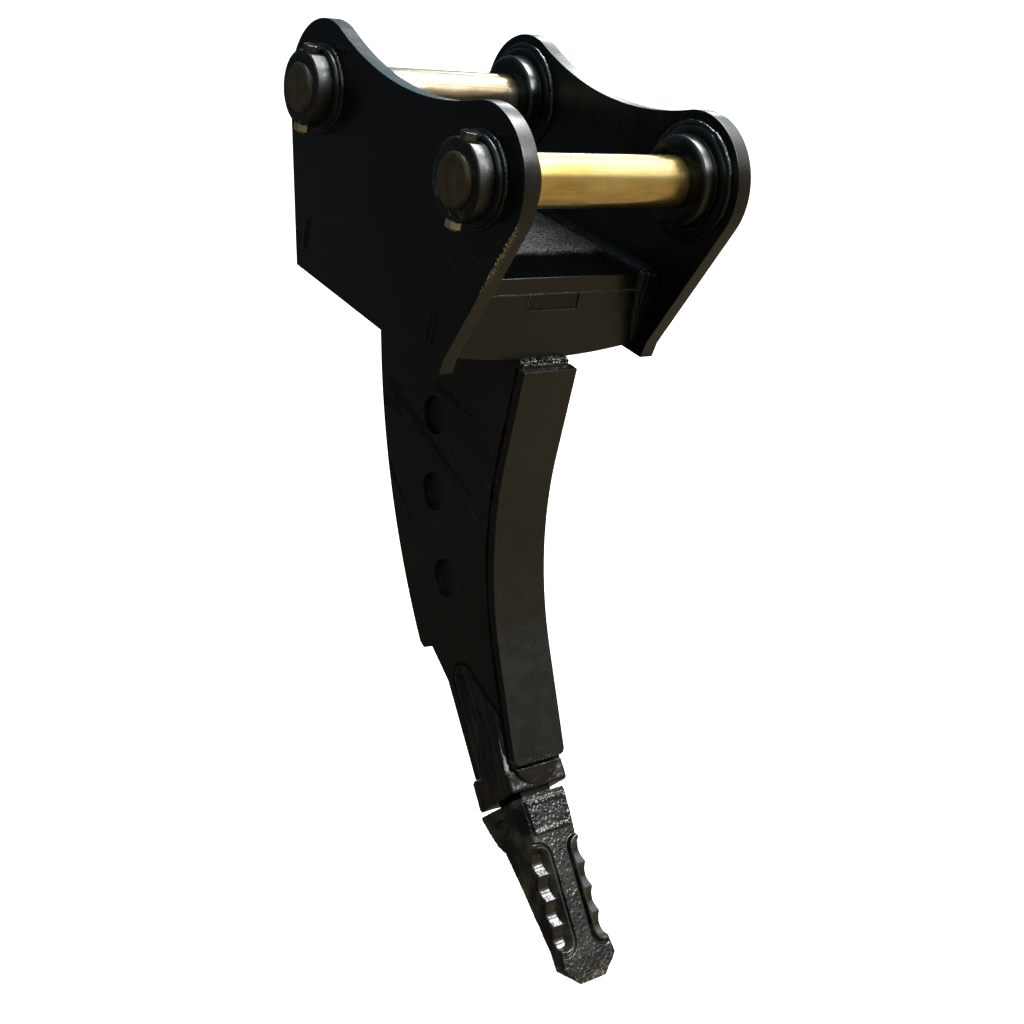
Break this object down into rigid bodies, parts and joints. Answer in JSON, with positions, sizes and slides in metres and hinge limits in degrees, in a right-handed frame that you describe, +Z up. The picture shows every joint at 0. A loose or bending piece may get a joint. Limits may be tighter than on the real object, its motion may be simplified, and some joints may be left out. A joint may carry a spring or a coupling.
{
  "type": "excavator ripper",
  "caption": "Single-shank excavator ripper: pin-on headstock with two plate ears and cross plates, curved shank with wear plate, weld-on adapter and a scalloped cast tooth.",
  "frame": {"origin": "on the front hitch pin's axis, midway between the ears", "axes": "+X along the hitch pins, -Y the digging side where the wear plate faces, +Z up along the ears' straight rear edge"},
  "size_m": [0.527, 0.666, 1.5822],
  "materials": {
    "black_paint": "satin black enamel over flame-cut plate",
    "dusty_paint": "black enamel under a film of sandy dust",
    "zinc": "yellow zinc plating on turned bar",
    "cast_paint": "thick gloss black paint on rough castings"
  },
  "bodies": {
    "root": {"left_ear": "black_paint", "right_ear": "black_paint", "left_front_ring": "black_paint", "right_front_ring": "black_paint", "left_rear_ring": "black_paint", "right_rear_ring": "black_paint", "left_front_collar": "black_paint", "right_front_collar": "black_paint", "left_rear_collar": "black_paint", "right_rear_collar": "black_paint", "left_front_boss": "black_paint", "right_front_boss": "black_paint", "left_rear_boss": "black_paint", "right_rear_boss": "black_paint", "front_pin": "zinc", "rear_pin": "zinc", "collar_bolts": "black_paint", "collar_nuts": "zinc", "top_plate": "dusty_paint", "front_plate": "black_paint", "rear_plate": "black_paint", "shank": "black_paint", "wear_plate": "black_paint", "adapter": "cast_paint", "tooth": "cast_paint", "tooth_pin": "cast_paint"}
  },
  "joints": []
}
